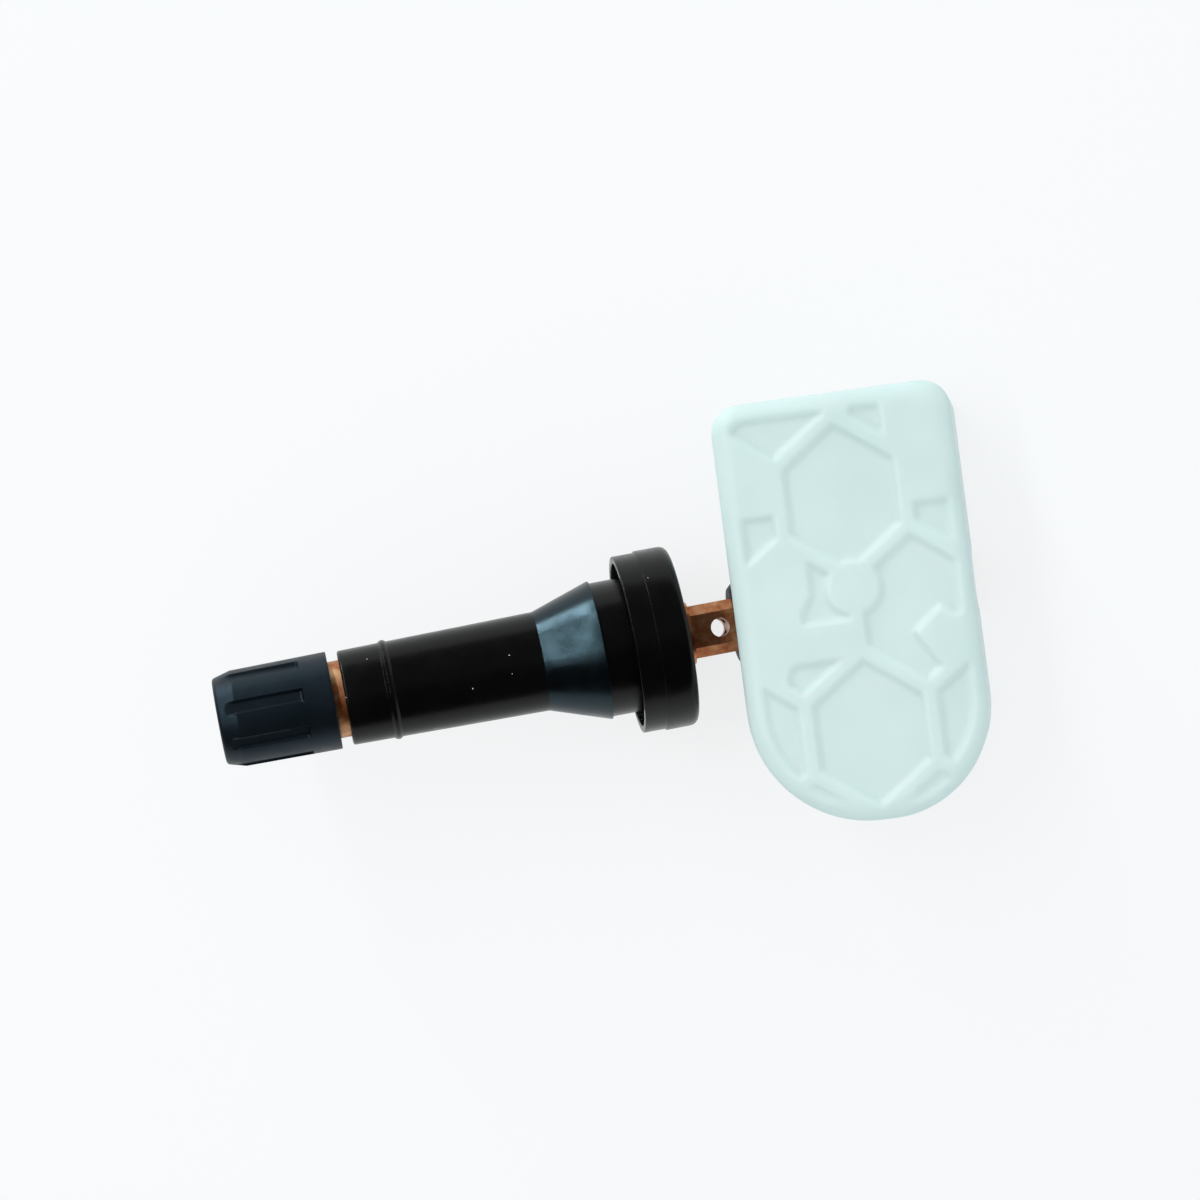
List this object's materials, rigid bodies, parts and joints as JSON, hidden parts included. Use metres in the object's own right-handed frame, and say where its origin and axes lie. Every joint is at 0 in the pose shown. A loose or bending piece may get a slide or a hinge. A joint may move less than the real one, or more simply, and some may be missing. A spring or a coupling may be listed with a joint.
{
  "type": "tyre pressure sensor",
  "caption": "Tyre pressure sensor: black rubber snap-in valve with brass tang and ribbed dust cap, set at an angle into a pale mint housing with a honeycomb relief face.",
  "frame": {"origin": "centre of the rim seat: the flange's front lip plane on the valve stem's axis", "axes": "+X from the dust cap to the housing, across the housing's width; +Y to the housing's square end; +Z out of the honeycomb face. The stem's axis rises by 12 degrees towards the cap."},
  "size_m": [0.0766, 0.0425, 0.0231],
  "materials": {
    "cap_plastic": "satin",
    "seal_rubber": "matte",
    "brass": "satin",
    "valve_rubber": "satin",
    "core_brass": "satin",
    "spring_steel": "satin",
    "collar_plastic": "matte",
    "screw_steel": "satin",
    "housing_plastic": "satin",
    "base_plastic": "satin",
    "board_laminate": "satin",
    "cell_steel": "satin",
    "tab_steel": "satin",
    "chip_resin": "matte",
    "can_steel": "satin",
    "ferrite": "matte",
    "winding": "satin",
    "capacitor_ceramic": "matte",
    "potting_resin": "satin"
  },
  "bodies": {
    "sensor": {"valve_stem": "brass", "rubber_body": "valve_rubber", "core_plug": "core_brass", "core_barrel": "core_brass", "core_gasket": "seal_rubber", "core_spring": "spring_steel", "stem_collar": "collar_plastic", "sensor_screw": "screw_steel", "housing_shell": "housing_plastic", "housing_base": "base_plastic", "circuit_board": "board_laminate", "coin_cell": "cell_steel", "battery_tab_top": "tab_steel", "battery_tab_bottom": "tab_steel", "sensor_chip": "chip_resin", "port_gasket": "seal_rubber", "timing_crystal": "can_steel", "wake_coil_core": "ferrite", "wake_coil_winding": "winding", "radio_antenna": "tab_steel", "chip_capacitors": "capacitor_ceramic", "potting_fill": "potting_resin"},
    "pin": {"core_pin": "core_brass", "core_cup": "core_brass", "core_washer": "seal_rubber"},
    "seal": {"cap_seal": "seal_rubber"},
    "cap": {"valve_cap": "cap_plastic"}
  },
  "joints": [
    {"name": "cap_lift", "type": "slide", "parent": "sensor", "child": "seal", "axis": [-0.9764, -0.058, 0.2079], "range_m": [0, 0.00953]},
    {"name": "cap_turn", "type": "hinge", "parent": "seal", "child": "cap", "pos_m": [-0.0292, -0.00173, 0.00622], "axis": [-0.9764, -0.058, 0.2079], "range_deg": [0, 4320]},
    {"name": "pin_press", "type": "slide", "parent": "sensor", "child": "pin", "axis": [0.9764, 0.058, -0.2079], "range_m": [0, 0.0013], "stiffness_N_per_m": 800, "springref_m": -0.004, "deforming": ["core_spring"]}
  ],
  "couplings": [
    {"joint": "cap_turn", "follows": "cap_lift", "rad_per_m": 7915}
  ]
}
